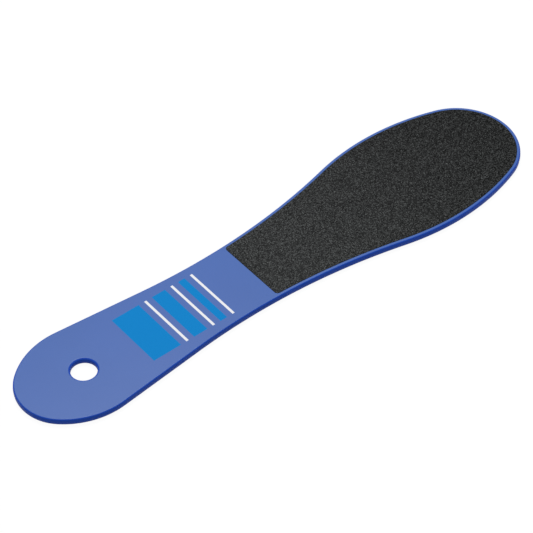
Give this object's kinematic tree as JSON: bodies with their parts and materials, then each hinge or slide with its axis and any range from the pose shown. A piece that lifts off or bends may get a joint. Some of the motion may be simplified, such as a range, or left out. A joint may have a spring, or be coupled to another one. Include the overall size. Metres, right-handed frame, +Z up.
{
  "type": "foot file",
  "caption": "Paddle foot file: a flat moulded handle with a hanging hole widens into an oval head that carries a coarse abrasive sheet on top and a finer one underneath.",
  "frame": {"origin": "under the middle of the length, on the surface that the file is laid down on, fine side down", "axes": "+X along the length from the butt of the handle to the tip of the head, +Y across the blade, +Z up through the coarse side"},
  "size_m": [0.23, 0.0556, 0.003],
  "materials": {
    "blue_plastic": "satin moulded faces, smoother edge wall",
    "adhesive": "tacky translucent film",
    "backing_paper": "dense black-dyed paper",
    "coarse_abrasive": "coarse dark grains in black bond",
    "fine_abrasive": "fine dark grains in black bond"
  },
  "bodies": {
    "root": {"paddle": "blue_plastic", "coarse_adhesive": "adhesive", "coarse_backing": "backing_paper", "coarse_grit": "coarse_abrasive", "fine_adhesive": "adhesive", "fine_backing": "backing_paper", "fine_grit": "fine_abrasive"}
  },
  "joints": []
}
